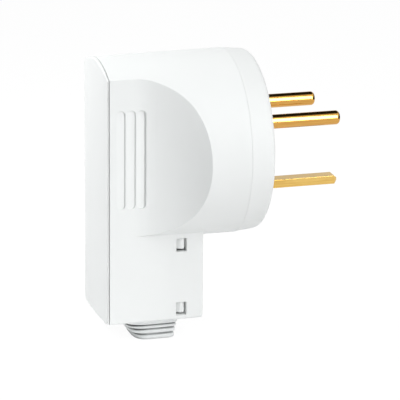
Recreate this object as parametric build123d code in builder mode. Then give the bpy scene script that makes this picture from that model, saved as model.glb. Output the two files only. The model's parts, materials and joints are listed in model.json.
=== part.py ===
from build123d import *
import os
from math import acos, cos, radians, sin

os.makedirs("parts", exist_ok=True)

# An angled three-pin plug. A round pin plate closes the front of a drum, the grip behind it is narrowed by two
# flat sides, and a cable box hangs below the grip. Sizes are in millimetres. X points along the pins, Z is up,
# and the origin is the centre of the mating face, so the body lies at negative X.

# Drum, grip and cable box
body_depth = 52.6       # mating face to the rear seam
ring_depth = 8.5        # mating face to the front seam
drum_r_front = 31.2     # at the front seam
drum_r_rear = 30.8      # at the rear seam
grip_half = 15.2        # half the width over the flat sides
box_depth = 32.5        # rear seam to the front of the cable box
box_drop = 57.3         # drum axis to the underside of the box
box_corner = 1.0
box_edge = 0.7
wall = 2.2
fit_gap = 0.2           # between fixed mouldings
run_gap = 0.3           # between pieces that move apart
edge_break = 0.4
seam_break = 0.1        # at the front seam
overcut = 1.0           # how far a cutting form runs past what it cuts

# Thumb scoops
scoop_setback = 41.4    # mating face to where the scoop leaves the flat side
scoop_r = 36.0
scoop_entry = 19.1      # degrees
scoop_margin = 2.0      # the cutting arc runs this far past the drum
scoop_blend = 16.0      # rounds the crease between the flat side and the scoop

# Grip flutes
flute_count = 3
flute_first = 2.4       # rear seam to the first flute
flute_pitch = 3.5
flute_width = 2.9
flute_length = 33.6
flute_drop = 0.45       # drum axis to the middle of the flutes
flute_depth = 0.55

# Pin plate
ring_draft = 0.9        # the ring narrows by this much towards the face
face_round = 1.8
plate_t = 3.5
spigot_reach = 6.0      # how far the spigot enters the drum
spigot_t = 2.2
bead_r = 0.35
bead_setback = 3.0      # front seam to the snap bead

# Pins
pin_spacing = 26.2
pin_rise = 8.8
pin_d = 4.8
pin_reach = 27.4
pin_tip_round = 1.2
earth_drop = 16.3
earth_reach = 31.2      # longer than the round pins, so that it makes contact first
earth_width = 5.0
earth_t = 2.8
earth_tip = 1.0
collar_t = 2.0
collar_r = 4.0
pin_tail = 8.5          # how far a pin stands behind its collar
pin_tail_r = 2.2
pin_shoulder_r = 2.9    # the part of a pin that fills its hole in the plate
pin_fit = 0.05

# Pin retainer and its screws
retainer_t = 3.0
retainer_screw_d = 3.0
retainer_screw_head_r = 2.6
retainer_screw_head_t = 1.9
retainer_screw_up = 20.0        # height of the top screw over the drum axis
retainer_screw_side = 17.5      # sideways place of the two low screws
retainer_screw_down = 10.0
retainer_screw_bite = 2.2       # thread length in the plate's boss

# Terminals, their saddles and screws
terminal_size = 9.0
terminal_length = 13.5
terminal_web = 0.6      # brass left between the pin's bore and the screw's thread
saddle_t = 1.2
saddle_tab_t = 0.8
saddle_tab_length = 3.6
terminal_screw_d = 4.0
terminal_head_r = 3.3
terminal_head_t = 2.4
thread_fit = 0.05
seat_gap = 0.1          # under a screw head that turns on its own piece
slot_width = 0.8
slot_depth = 1.2

# Insulating barrier between the terminals
barrier_t = 1.5
barrier_depth = 18.5
barrier_top = 17.0
barrier_shelf_z = -4.75
barrier_shelf_half = 19.5

# Rear cover
cover_edge = 0.75       # rear seam to the back of the cover's edge
cover_edge_round = 0.25
cover_crown_r = 190.0
cover_lip_depth = 2.7
cover_lip_t = 1.8
cover_plate_t = 0.9     # how far the plate reaches inside the seam
cover_boss_r = 3.6
cover_boss_reach = 7.0  # rear seam to the end of a boss and of the tongue
cover_tongue_width = 10.0
cover_tongue_t = 1.8
cover_tongue_gap = 1.0  # under the roof of the drum
cover_screw_d = 3.0
cover_head_r = 2.8
cover_head_t = 2.1
cover_recess = 2.4      # front of the box to the seat of a screw's head
cover_head_floor = 1.9
cover_screw_bite = 5.0  # thread length in an insert
cover_corner_side = 7.6         # flat side to a cover screw
cover_corner_rise = 6.5         # underside of the box to a cover screw
insert_length = 6.0
insert_t = 0.9

# Cord clamp
clamp_rise = 15.8       # underside of the box to the middle of the clamp
clamp_height = 7.0
clamp_cable_r = 5.2
clamp_split = 1.5       # gap between the base and the bar on a cable
clamp_bar_t = 6.4
clamp_side_inset = 6.6  # flat side to a clamp screw
clamp_screw_d = 3.5
clamp_head_r = 2.8
clamp_head_t = 2.4
clamp_tip_gap = 2.3      # front panel to the tip of a clamp screw
clamp_insert_floor = 2.05       # front panel to an insert
clamp_ledge = 1.8

# Cable gland
gland_setback = 17.1    # rear seam to the middle of the cable
gland_bore_r = 5.0
gland_neck_r = 6.2
gland_flange_r = 6.9
gland_flange_t = 1.4
gland_groove = 0.45
gland_groove_depth = 0.9
gland_rear_corner = 5.5
gland_front_corner = 1.2
# Its block and ribs from the top down: the foot of each below the box, its reach behind and in front of the
# cable, and half its width
gland_feet = (3.0, 4.4, 6.2, 8.4)
gland_rear_reaches = (10.1, 9.25, 8.1, 6.5)
gland_front_reaches = (8.35, 8.25, 7.75, 7.4)
gland_half_widths = (9.6, 9.5, 9.4, 9.2)

# Front panel of the cable box and its snaps
snap_width = 3.6
snap_height = 4.6
snap_setback = 5.9      # front of the box to the front edge of a window
snap_rises = (6.1, 28.5)        # underside of the box to the top edge of a window
snap_arm_t = 1.3
snap_lug_rise = 1.6
snap_shadow = 0.8       # open strip in front of and below each lug

rear_x = -body_depth
seam_x = -ring_depth
face_r = drum_r_front - ring_draft
box_front_x = box_depth - body_depth
panel_x = box_front_x - wall
inner_half = grip_half - wall
gland_x = rear_x + gland_setback
snap_front = body_depth - box_depth + snap_setback
snap_tops = [box_drop - rise for rise in snap_rises]
clamp_z = clamp_rise - box_drop
clamp_screw_side = grip_half - clamp_side_inset
cover_edge_x = body_depth + cover_edge
cover_screw_side = grip_half - cover_corner_side
cover_screw_down = box_drop - cover_corner_rise
cover_boss_x = rear_x + cover_boss_reach
head_seat_x = box_front_x - cover_recess
retainer_front_x = -plate_t - collar_t
retainer_rear_x = retainer_front_x - retainer_t
terminal_rear_x = retainer_rear_x - terminal_length
spigot_r = drum_r_front - wall - fit_gap
spigot_inner_r = spigot_r - spigot_t
pin_sites = {"live": (-pin_spacing / 2, pin_rise), "neutral": (pin_spacing / 2, pin_rise)}
terminal_sites = {**pin_sites, "earth": (0, -earth_drop)}
retainer_screw_sites = [(0, retainer_screw_up), (-retainer_screw_side, -retainer_screw_down),
                        (retainer_screw_side, -retainer_screw_down)]
cover_screw_sites = {"left": (-cover_screw_side, -cover_screw_down), "right": (cover_screw_side, -cover_screw_down)}


def plane_at(x):
    """The plane square to the pins at x, with its own X along Y and its own Y up."""
    return Plane.YZ.offset(x)


def finish(builder, label):
    builder.part.label = label
    export_step(builder.part, f"parts/{label}.step")


# Plan of the body: flat sides, a concave scoop on each, then the full width of the drum
scoop_centre = (-scoop_setback - scoop_r * sin(radians(scoop_entry)),
                grip_half + scoop_r * cos(radians(scoop_entry)))


def scoop_point(angle, inset):
    reach = scoop_r + inset
    return (scoop_centre[0] + reach * sin(angle), scoop_centre[1] - reach * cos(angle))


def drum_form(inset, overrun):
    """The tapering drum, moved inwards by inset and lengthened by overrun at both ends."""
    with BuildPart() as drum:
        with BuildSketch(plane_at(rear_x - overrun)):
            Circle(drum_r_rear - inset)
        with BuildSketch(plane_at(seam_x + overrun)):
            Circle(drum_r_front - inset)
        loft()
    return drum.part


def body_form(inset, overrun):
    """The drum, narrowed by its flat sides and scoops, with the cable box below it."""
    side_y = grip_half - inset
    outer_y = drum_r_front + scoop_margin
    first = acos((scoop_centre[1] - side_y) / (scoop_r + inset))
    last = acos((scoop_centre[1] - outer_y) / (scoop_r + inset))
    start, middle, end = (scoop_point(angle, inset) for angle in (first, (first + last) / 2, last))
    box_length = box_depth + overrun
    with BuildPart() as form:
        add(drum_form(inset, overrun))
        with BuildSketch(Plane.XY.offset(-drum_r_front)) as plan:
            with BuildLine():
                Polyline((seam_x + overrun, 0), (seam_x + overrun, outer_y), end)
                ThreePointArc(end, middle, start)
                Polyline(start, (rear_x - overrun, side_y), (rear_x - overrun, 0))
                mirror(about=Plane.XZ)
            make_face()
            creases = plan.vertices().filter_by(
                lambda corner: abs(corner.X - start[0]) < edge_break and abs(abs(corner.Y) - side_y) < edge_break)
            fillet(creases, scoop_blend)
        extrude(amount=2 * drum_r_front, mode=Mode.INTERSECT)
        with BuildSketch(Plane.XY.offset(inset - box_drop)):
            with Locations((rear_x - overrun + box_length / 2, 0)):
                Rectangle(box_length, 2 * side_y)
        extrude(amount=box_drop - inset)
    return form.part


def outer_form():
    """The outside of the body with the edges of its cable box rounded."""
    with BuildPart() as form:
        add(body_form(0, 0))
        low_front = form.edges().group_by(Axis.Z)[0].sort_by(Axis.X)[-1]
        fillet(low_front, box_corner)
        # The rounding runs on round the low front corners and up the front edges
        bottom = form.faces().sort_by(Axis.Z)[0]
        fillet(bottom.edges().filter_by(Axis.X), box_edge)
    return form.part


def rear_outline(inset):
    """The outline of the body at its rear seam."""
    with BuildSketch() as outline:
        Circle(drum_r_rear - inset)
        Rectangle(2 * (grip_half - inset), 2 * drum_r_rear, mode=Mode.INTERSECT)
        with Locations((0, (inset - box_drop) / 2)):
            Rectangle(2 * (grip_half - inset), box_drop - inset)
        fillet(outline.vertices().group_by(Axis.Y)[0], box_edge)
    return outline.sketch


def flute_cutters():
    """Saw-toothed flutes for one flat side, flush at the rear and deepest at the front."""
    with BuildPart() as cutters:
        for index in range(flute_count):
            rear_edge = rear_x + flute_first + index * flute_pitch
            with BuildSketch(Plane.XY.offset(-flute_drop - flute_length / 2)):
                with BuildLine():
                    Polyline((rear_edge, -grip_half), (rear_edge + flute_width, flute_depth - grip_half),
                             (rear_edge + flute_width, -grip_half - 1), (rear_edge, -grip_half - 1), close=True)
                make_face()
            extrude(amount=flute_length)
    with BuildPart() as rounded:
        with BuildSketch(Plane.XZ.offset(grip_half - 1)):
            for index in range(flute_count):
                middle = rear_x + flute_first + index * flute_pitch + flute_width / 2
                with Locations((middle, -flute_drop)):
                    SlotOverall(flute_length, flute_width, rotation=90)
        extrude(amount=2)
        add(cutters.part, mode=Mode.INTERSECT)
    return rounded.part


def bead_groove():
    """The groove inside the drum that the pin plate's snap bead sits in."""
    with BuildPart() as groove:
        with BuildSketch(Plane.XY):
            with Locations((seam_x - bead_setback, spigot_r)):
                Circle(bead_r + fit_gap)
        revolve(axis=Axis.X)
    return groove.part


def screw(head_x, shank_r, length, head_r, head_t, cross):
    """A pan-head screw along X, its head on the low side of head_x and its shank on the high side."""
    with BuildPart() as made:
        with BuildSketch(plane_at(head_x)):
            Circle(shank_r)
        extrude(amount=length)
        chamfer(made.faces().sort_by(Axis.X)[-1].edges(), shank_r / 4)
        with BuildSketch(plane_at(head_x)):
            Circle(head_r)
        extrude(amount=-head_t)
        fillet(made.faces().sort_by(Axis.X)[0].edges(), head_t / 3)
        with BuildSketch(plane_at(head_x - head_t)):
            Rectangle(2 * head_r if not cross else 1.3 * head_r, slot_width)
            if cross:
                Rectangle(slot_width, 1.3 * head_r)
        extrude(amount=slot_depth, mode=Mode.SUBTRACT)
    return made.part


# Housing: the drum sleeve, the flat grip sides and the two sides and floor of the cable box
flutes = flute_cutters()
outside = outer_form()
with BuildPart() as housing:
    add(outside)
    add(body_form(wall, overcut), mode=Mode.SUBTRACT)
    # The front panel of the box and its tongue close this slot
    with BuildSketch(Plane.XY.offset(-box_drop)):
        with Locations(((panel_x + seam_x) / 2, 0)):
            Rectangle(seam_x - panel_x, 2 * inner_half)
    extrude(amount=box_drop - drum_r_front / 2, mode=Mode.SUBTRACT)
    add(bead_groove(), mode=Mode.SUBTRACT)
    # Ledges under the cord clamp's base
    with BuildSketch(Plane.XY.offset(clamp_z - clamp_height / 2 - clamp_ledge)):
        for hand in (-1, 1):
            with Locations(((gland_x + panel_x) / 2, hand * (inner_half - clamp_ledge / 2 + wall / 4))):
                Rectangle(panel_x - gland_x, clamp_ledge + wall / 2)
    extrude(amount=clamp_ledge)
    # Cable hole in the floor
    with BuildSketch(Plane.XY.offset(-box_drop)):
        with Locations((gland_x, 0)):
            Circle(gland_neck_r + pin_fit)
    extrude(amount=wall, mode=Mode.SUBTRACT)
    # Snap windows in both sides of the box
    with BuildSketch(Plane.XZ.offset(-grip_half)):
        for top in snap_tops:
            with Locations((-snap_front - snap_width / 2, -top - snap_height / 2)):
                Rectangle(snap_width, snap_height)
    extrude(amount=2 * grip_half, mode=Mode.SUBTRACT)
    add(flutes, mode=Mode.SUBTRACT)
    add(flutes.mirror(Plane.XZ), mode=Mode.SUBTRACT)
finish(housing, "housing")

# Front panel: the front wall of the cable box, with a tongue that fills the drum's underside up to the ring
with BuildPart() as front_panel:
    with BuildSketch(Plane.XY.offset(-box_drop)):
        with Locations(((panel_x + seam_x - fit_gap) / 2, 0)):
            Rectangle(seam_x - panel_x - fit_gap, 2 * (inner_half - fit_gap))
    extrude(amount=box_drop - drum_r_front / 2)
    add(outside, mode=Mode.INTERSECT)
    add(drum_form(wall, 1.0), mode=Mode.SUBTRACT)
    add(bead_groove(), mode=Mode.SUBTRACT)
    for hand in (-1, 1):
        for top in snap_tops:
            arm_y = hand * (inner_half - fit_gap - snap_arm_t / 2)
            arm_reach = panel_x + snap_front + snap_width - fit_gap
            lug_height = snap_height - snap_shadow - fit_gap
            lug_z = -top - fit_gap - lug_height
            rear_end = -snap_front - snap_width + fit_gap
            front_end = -snap_front - snap_shadow
            inner_y = hand * (inner_half - fit_gap)
            outer_y = inner_y + hand * (snap_lug_rise + fit_gap)
            with BuildSketch(Plane.XY.offset(lug_z)):
                with Locations((panel_x - arm_reach / 2, arm_y)):
                    Rectangle(arm_reach, snap_arm_t)
                with BuildLine():
                    Polyline((rear_end, inner_y), (rear_end, inner_y + hand * snap_lug_rise / 2),
                             ((rear_end + front_end) / 2, outer_y), (front_end, outer_y),
                             (front_end, inner_y), close=True)
                make_face()
            extrude(amount=lug_height)
    # Bosses with the sunk heads of the cover screws
    with BuildSketch(plane_at(panel_x)):
        with Locations(*cover_screw_sites.values()):
            Circle(cover_boss_r)
    extrude(amount=head_seat_x - cover_head_floor - panel_x)
    with BuildSketch(plane_at(head_seat_x)):
        with Locations(*cover_screw_sites.values()):
            Circle(cover_head_r + fit_gap)
    extrude(amount=cover_recess, mode=Mode.SUBTRACT)
    with BuildSketch(plane_at(head_seat_x)):
        with Locations(*cover_screw_sites.values()):
            Circle(cover_screw_d / 2 + thread_fit)
    extrude(amount=-cover_head_floor, mode=Mode.SUBTRACT)
finish(front_panel, "front_panel")

# Pin plate: the mating face, the ring in front of the seam and the spigot that snaps into the drum
with BuildPart() as pin_plate:
    with BuildSketch(Plane.XY) as section:
        with BuildLine():
            Polyline((0, 0), (0, face_r), (seam_x, drum_r_front), (seam_x, spigot_r),
                     (seam_x - spigot_reach, spigot_r), (seam_x - spigot_reach, spigot_inner_r),
                     (-plate_t, spigot_inner_r), (-plate_t, 0), close=True)
        make_face()
        fillet(section.vertices().group_by(Axis.X)[-1].sort_by(Axis.Y)[-1], face_round)
        chamfer(section.vertices().sort_by_distance((seam_x, drum_r_front))[0], seam_break)
        with Locations((seam_x - bead_setback, spigot_r)):
            Circle(bead_r)
    revolve(axis=Axis.X)
    with BuildSketch(plane_at(-plate_t)):
        with Locations(*retainer_screw_sites):
            Circle(retainer_screw_head_r + edge_break)
    extrude(amount=-collar_t)
    with BuildSketch(plane_at(retainer_front_x)):
        with Locations(*retainer_screw_sites):
            Circle(retainer_screw_d / 2)
    extrude(amount=collar_t + retainer_screw_bite, mode=Mode.SUBTRACT)
    with BuildSketch(plane_at(-plate_t)):
        with Locations(*pin_sites.values()):
            Circle(pin_shoulder_r + pin_fit)
        with Locations((0, -earth_drop)):
            Rectangle(earth_width + 2 * pin_fit, earth_t + 2 * pin_fit)
    extrude(amount=plate_t, mode=Mode.SUBTRACT)
finish(pin_plate, "pin_plate")

# Round pins: a tail, the collar that the retainer traps, a shoulder in the plate and the pin itself
pin_steps = ((pin_tail_r, pin_tail), (collar_r, collar_t), (pin_shoulder_r, plate_t), (pin_d / 2, pin_reach))
for name, site in pin_sites.items():
    with BuildPart() as pin:
        step_x = retainer_front_x - pin_tail
        for step_r, step_length in pin_steps:
            with BuildSketch(plane_at(step_x)):
                with Locations(site):
                    Circle(step_r)
            extrude(amount=step_length)
            step_x += step_length
        fillet(pin.faces().sort_by(Axis.X)[-1].edges(), pin_tip_round)
    finish(pin, f"{name}_pin")

# Flat earth pin
with BuildPart() as earth_pin:
    with BuildSketch(plane_at(retainer_front_x - pin_tail)):
        with Locations((0, -earth_drop)):
            Rectangle(earth_width, earth_t)
    extrude(amount=pin_tail + collar_t + plate_t + earth_reach)
    chamfer(earth_pin.faces().sort_by(Axis.X)[-1].edges(), earth_tip)
    with BuildSketch(plane_at(retainer_front_x)):
        with Locations((0, -earth_drop)):
            Rectangle(2 * collar_r, earth_t + 2 * collar_t)
    extrude(amount=collar_t)
finish(earth_pin, "earth_pin")

# Retainer: the insulating disc that holds the three collars against the pin plate
with BuildPart() as pin_retainer:
    with BuildSketch(plane_at(retainer_front_x)):
        Circle(spigot_inner_r - fit_gap)
        with Locations(*retainer_screw_sites):
            Circle(retainer_screw_d / 2 + pin_fit, mode=Mode.SUBTRACT)
        with Locations(*pin_sites.values()):
            Circle(pin_tail_r + pin_fit, mode=Mode.SUBTRACT)
        with Locations((0, -earth_drop)):
            Rectangle(earth_width + 2 * pin_fit, earth_t + 2 * pin_fit, mode=Mode.SUBTRACT)
    extrude(amount=-retainer_t)
finish(pin_retainer, "pin_retainer")

retainer_screw = screw(retainer_rear_x, retainer_screw_d / 2 - pin_fit,
                       retainer_t + collar_t + retainer_screw_bite - fit_gap,
                       retainer_screw_head_r, retainer_screw_head_t, True)
with BuildPart() as retainer_screws:
    for side, height in retainer_screw_sites:
        add(retainer_screw.moved(Location((0, side, height))))
finish(retainer_screws, "retainer_screws")

# Terminals: a brass block on each pin's tail, a saddle that clamps the wire, and its screw
screw_x = terminal_rear_x - run_gap - saddle_t - seat_gap
screw_reach = terminal_length - pin_tail + retainer_t - terminal_web + run_gap + saddle_t + seat_gap
terminal_screw = screw(screw_x, terminal_screw_d / 2, screw_reach - run_gap, terminal_head_r, terminal_head_t, False)
for name, site in terminal_sites.items():
    with BuildPart() as block:
        with BuildSketch(plane_at(terminal_rear_x)):
            with Locations(site):
                RectangleRounded(terminal_size, terminal_size, edge_break)
        extrude(amount=terminal_length)
        with BuildSketch(plane_at(retainer_rear_x)):
            with Locations(site):
                if name == "earth":
                    Rectangle(earth_width + 2 * pin_fit, earth_t + 2 * pin_fit)
                else:
                    Circle(pin_tail_r + pin_fit)
        extrude(amount=retainer_t - pin_tail, mode=Mode.SUBTRACT)
        with BuildSketch(plane_at(terminal_rear_x)):
            with Locations(site):
                Circle(terminal_screw_d / 2 + thread_fit)
        extrude(amount=terminal_length - pin_tail + retainer_t - terminal_web, mode=Mode.SUBTRACT)
    finish(block, f"{name}_terminal")

    with BuildPart() as saddle:
        saddle_height = terminal_size + 2 * (run_gap + saddle_tab_t)
        with BuildSketch(plane_at(terminal_rear_x - run_gap)):
            with Locations(site):
                Rectangle(terminal_size, saddle_height)
                Circle(terminal_screw_d / 2 + thread_fit, mode=Mode.SUBTRACT)
        extrude(amount=-saddle_t)
        with BuildSketch(plane_at(terminal_rear_x - run_gap)):
            for side in (-1, 1):
                with Locations((site[0], site[1] + side * (saddle_height - saddle_tab_t) / 2)):
                    Rectangle(terminal_size / 2, saddle_tab_t)
        extrude(amount=saddle_tab_length)
    finish(saddle, f"{name}_saddle")

    with BuildPart() as terminal_screw_body:
        add(terminal_screw.moved(Location((0, *site))))
    finish(terminal_screw_body, f"{name}_screw")

# Barrier: a web between live and neutral on a shelf over the earth terminal
with BuildPart() as terminal_barrier:
    with BuildSketch(plane_at(retainer_rear_x)):
        with Locations((0, (barrier_top + barrier_shelf_z) / 2)):
            Rectangle(barrier_t, barrier_top - barrier_shelf_z)
        with Locations((0, barrier_shelf_z)):
            Rectangle(2 * barrier_shelf_half, barrier_t)
    extrude(amount=-barrier_depth)
finish(terminal_barrier, "terminal_barrier")

# Rear cover: a crowned plate with a lip inside the body, a tongue at its top and a boss for each insert
cover_seam_x = rear_x - run_gap
crown_x = -cover_edge_x + cover_crown_r * cos(grip_half / cover_crown_r) - 2 * cover_crown_r
tongue_z = drum_r_rear - wall - cover_tongue_gap - cover_tongue_t / 2
with BuildPart() as rear_cover:
    with BuildSketch(plane_at(cover_seam_x)):
        add(rear_outline(0))
    extrude(amount=-cover_edge_x)
    with BuildSketch(Plane.XY.offset(-box_drop - overcut)):
        with Locations((crown_x + 2 * cover_crown_r, 0)):
            Circle(cover_crown_r)
    extrude(amount=2 * box_drop, mode=Mode.INTERSECT)
    crown = rear_cover.faces().sort_by(Axis.X)[0]
    fillet(crown.edges(), cover_edge_round)
    with BuildSketch(plane_at(cover_seam_x)):
        add(rear_outline(wall + run_gap))
    extrude(amount=run_gap + cover_lip_depth)
    with BuildSketch(plane_at(rear_x + cover_plate_t)):
        add(rear_outline(wall + run_gap + cover_lip_t))
    extrude(amount=cover_lip_depth - cover_plate_t, mode=Mode.SUBTRACT)
    with BuildSketch(plane_at(cover_seam_x)):
        with Locations(*cover_screw_sites.values()):
            Circle(cover_boss_r)
        with Locations((0, tongue_z)):
            Rectangle(cover_tongue_width, cover_tongue_t)
    extrude(amount=run_gap + cover_boss_reach)
    with BuildSketch(plane_at(cover_boss_x)):
        with Locations(*cover_screw_sites.values()):
            Circle(cover_screw_d / 2 + insert_t)
    extrude(amount=-insert_length, mode=Mode.SUBTRACT)
finish(rear_cover, "rear_cover")

# Cover screws: long ones, captive in the front panel, that pass under the cord clamp to the cover's inserts
cover_head_x = head_seat_x + seat_gap
cover_screw = screw(0, cover_screw_d / 2, cover_head_x - cover_boss_x + cover_screw_bite,
                    cover_head_r, cover_head_t, True)
for name, (side, height) in cover_screw_sites.items():
    with BuildPart() as cover_screw_body:
        add(cover_screw.moved(Location((cover_head_x, side, height), (0, 0, 180))))
    finish(cover_screw_body, f"cover_screw_{name}")

with BuildPart() as cover_inserts:
    with BuildSketch(plane_at(cover_boss_x)):
        with Locations(*cover_screw_sites.values()):
            Circle(cover_screw_d / 2 + insert_t - pin_fit)
            Circle(cover_screw_d / 2 + thread_fit, mode=Mode.SUBTRACT)
    extrude(amount=-insert_length)
finish(cover_inserts, "cover_inserts")

# Cord clamp: a grooved base against the front panel, a bar that two screws draw onto it, and their inserts
base_rear_x = gland_x + clamp_split / 2
bar_front_x = gland_x - clamp_split / 2
bar_rear_x = bar_front_x - clamp_bar_t + clamp_split / 2
clamp_head_x = bar_rear_x - seat_gap
clamp_insert_x = panel_x - clamp_insert_floor - insert_length
clamp_low_z = clamp_z - clamp_height / 2
clamp_sites = {"left": (-clamp_screw_side, clamp_z), "right": (clamp_screw_side, clamp_z)}


def cable_groove():
    """The groove that the cable lies in, upright through both halves of the clamp."""
    with BuildPart() as groove:
        with BuildSketch(Plane.XY.offset(clamp_low_z - overcut)):
            with Locations((gland_x, 0)):
                Circle(clamp_cable_r)
        extrude(amount=clamp_height + 2 * overcut)
    return groove.part


with BuildPart() as clamp_base:
    with BuildSketch(Plane.XY.offset(clamp_low_z)):
        with Locations(((base_rear_x + panel_x) / 2, 0)):
            Rectangle(panel_x - base_rear_x, 2 * (inner_half - fit_gap))
    extrude(amount=clamp_height)
    add(cable_groove(), mode=Mode.SUBTRACT)
    # The snap arms of the front panel pass the base above and below, so only the screws cut it
    with BuildSketch(plane_at(base_rear_x)):
        with Locations(*clamp_sites.values()):
            Circle(clamp_screw_d / 2 + insert_t)
    extrude(amount=clamp_insert_x + insert_length - base_rear_x, mode=Mode.SUBTRACT)
finish(clamp_base, "cord_clamp_base")

with BuildPart() as clamp_inserts:
    with BuildSketch(plane_at(clamp_insert_x)):
        with Locations(*clamp_sites.values()):
            Circle(clamp_screw_d / 2 + insert_t - pin_fit)
            Circle(clamp_screw_d / 2 + thread_fit, mode=Mode.SUBTRACT)
    extrude(amount=insert_length)
finish(clamp_inserts, "cord_clamp_inserts")

with BuildPart() as clamp_bar:
    with BuildSketch(Plane.XY.offset(clamp_low_z)):
        with Locations(((bar_front_x + bar_rear_x) / 2, 0)):
            RectangleRounded(bar_front_x - bar_rear_x, 2 * (inner_half - run_gap), edge_break)
    extrude(amount=clamp_height)
    add(cable_groove(), mode=Mode.SUBTRACT)
    with BuildSketch(plane_at(bar_rear_x)):
        with Locations(*clamp_sites.values()):
            Circle(clamp_screw_d / 2 + thread_fit)
    extrude(amount=bar_front_x - bar_rear_x, mode=Mode.SUBTRACT)
finish(clamp_bar, "cord_clamp_bar")

clamp_screw = screw(clamp_head_x, clamp_screw_d / 2, panel_x - clamp_tip_gap - clamp_head_x,
                    clamp_head_r, clamp_head_t, True)
for name, (side, height) in clamp_sites.items():
    with BuildPart() as clamp_screw_body:
        add(clamp_screw.moved(Location((0, side, height))))
    finish(clamp_screw_body, f"cord_clamp_screw_{name}")

# Cable gland: a ribbed rubber boot whose neck is held by the box's floor
floor_z = wall - box_drop


def rib_plan(rear, front, half, inset):
    """The plan of one rib about the cable, well rounded at the rear and squarer at the front."""
    with BuildSketch() as plan:
        with Locations(((front - rear) / 2, 0)):
            Rectangle(front + rear - 2 * inset, 2 * (half - inset))
        fillet(plan.vertices().group_by(Axis.X)[0], gland_rear_corner)
        fillet(plan.vertices().group_by(Axis.X)[-1], gland_front_corner)
    return plan.sketch


with BuildPart() as cable_gland:
    rib_top = -box_drop
    for depth, rear, front, half in zip(gland_feet, gland_rear_reaches, gland_front_reaches, gland_half_widths):
        if rib_top < -box_drop:
            rib_top -= gland_groove
            with BuildSketch(Plane.XY.offset(rib_top)):
                add(rib_plan(rear, front, half, gland_groove_depth))
            extrude(amount=gland_groove)
        rib_foot = -box_drop - depth
        with BuildSketch(Plane.XY.offset(rib_foot)):
            add(rib_plan(rear, front, half, 0))
        extrude(amount=rib_top - rib_foot)
        rib_top = rib_foot
    with BuildSketch(Plane.XY.offset(-box_drop)):
        Circle(gland_neck_r)
    extrude(amount=wall)
    with BuildSketch(Plane.XY.offset(floor_z)):
        Circle(gland_flange_r)
    extrude(amount=gland_flange_t)
    with BuildSketch(Plane.XY.offset(rib_top)):
        Circle(gland_bore_r)
    extrude(amount=floor_z + gland_flange_t - rib_top, mode=Mode.SUBTRACT)
cable_gland.part.position = (gland_x, 0, 0)
finish(cable_gland, "cable_gland")
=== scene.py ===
"""Looks for an angled three-pin plug: moulded shells, brass pins, threads, knurls and a ribbed gland."""
import json
from math import pi

import bmesh
import bpy
from bpy.props import FloatProperty, FloatVectorProperty, IntProperty, PointerProperty
from bpy.types import Operator, Panel, PropertyGroup
from mathutils import Matrix, Vector

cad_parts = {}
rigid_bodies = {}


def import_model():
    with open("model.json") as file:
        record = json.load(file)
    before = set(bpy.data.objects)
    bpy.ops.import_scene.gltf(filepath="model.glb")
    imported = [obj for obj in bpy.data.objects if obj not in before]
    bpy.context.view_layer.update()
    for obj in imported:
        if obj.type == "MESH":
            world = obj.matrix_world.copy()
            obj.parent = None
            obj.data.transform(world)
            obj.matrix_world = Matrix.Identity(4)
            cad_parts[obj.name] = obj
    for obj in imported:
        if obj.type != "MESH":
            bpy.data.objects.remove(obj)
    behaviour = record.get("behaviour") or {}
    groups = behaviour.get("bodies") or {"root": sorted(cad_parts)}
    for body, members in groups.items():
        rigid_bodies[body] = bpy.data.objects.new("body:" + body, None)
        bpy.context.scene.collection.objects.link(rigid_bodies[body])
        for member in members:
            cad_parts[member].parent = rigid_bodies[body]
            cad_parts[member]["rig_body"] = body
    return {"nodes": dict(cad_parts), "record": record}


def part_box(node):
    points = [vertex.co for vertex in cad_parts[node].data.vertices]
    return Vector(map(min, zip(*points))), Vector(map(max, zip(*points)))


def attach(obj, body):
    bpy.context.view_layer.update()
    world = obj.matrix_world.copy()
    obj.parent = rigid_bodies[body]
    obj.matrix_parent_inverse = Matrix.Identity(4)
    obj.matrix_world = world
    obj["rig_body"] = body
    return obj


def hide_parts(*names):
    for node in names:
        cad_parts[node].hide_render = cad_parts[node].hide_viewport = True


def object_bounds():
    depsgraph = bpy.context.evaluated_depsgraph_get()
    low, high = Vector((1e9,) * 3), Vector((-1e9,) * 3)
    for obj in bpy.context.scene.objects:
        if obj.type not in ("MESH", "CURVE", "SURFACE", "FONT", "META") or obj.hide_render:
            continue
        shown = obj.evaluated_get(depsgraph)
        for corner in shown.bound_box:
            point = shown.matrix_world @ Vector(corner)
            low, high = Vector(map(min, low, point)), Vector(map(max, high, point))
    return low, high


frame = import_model()
cad_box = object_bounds()

bl_info = {
    "name": "Angled three-pin plug",
    "version": (1, 0, 0),
    "blender": (4, 5, 0),
    "location": "View3D > Sidebar > Plug",
    "description": "Dresses the plug's construction with its finishes, threads, knurls and ribs",
    "category": "Object",
}

MM = 0.001

SHELLS = ("housing", "front_panel", "pin_plate", "rear_cover")
INSULATORS = ("pin_retainer", "terminal_barrier", "cord_clamp_base", "cord_clamp_bar")
ROUND_PINS = ("live_pin", "neutral_pin")
BLOCKS = ("live_terminal", "neutral_terminal", "earth_terminal")
SADDLES = ("live_saddle", "neutral_saddle", "earth_saddle")
COVER_SCREWS = ("cover_screw_left", "cover_screw_right")
CLAMP_SCREWS = ("cord_clamp_screw_left", "cord_clamp_screw_right")
SLOTTED_SCREWS = ("live_screw", "neutral_screw", "earth_screw")

# Y and Z of the three retainer screws
RETAINER_SITES = ((0, 20.0 * MM), (-17.5 * MM, -10.0 * MM), (17.5 * MM, -10.0 * MM))
# Where the cable leaves the housing
CABLE = Vector(next(mount["pos_m"] for mount in frame["record"]["mounts"] if mount["name"] == "cable_entry"))

# Shank radius for each radius of a screw's head, both in millimetres
SHANK_RADII = {2.6: 1.45, 2.8: 1.5, 3.3: 2.0}
# Length of a single driver slot and of the two slots of a cross, in head radii
SLOT_REACH = 2.2
CROSS_REACH = 1.3
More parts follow.
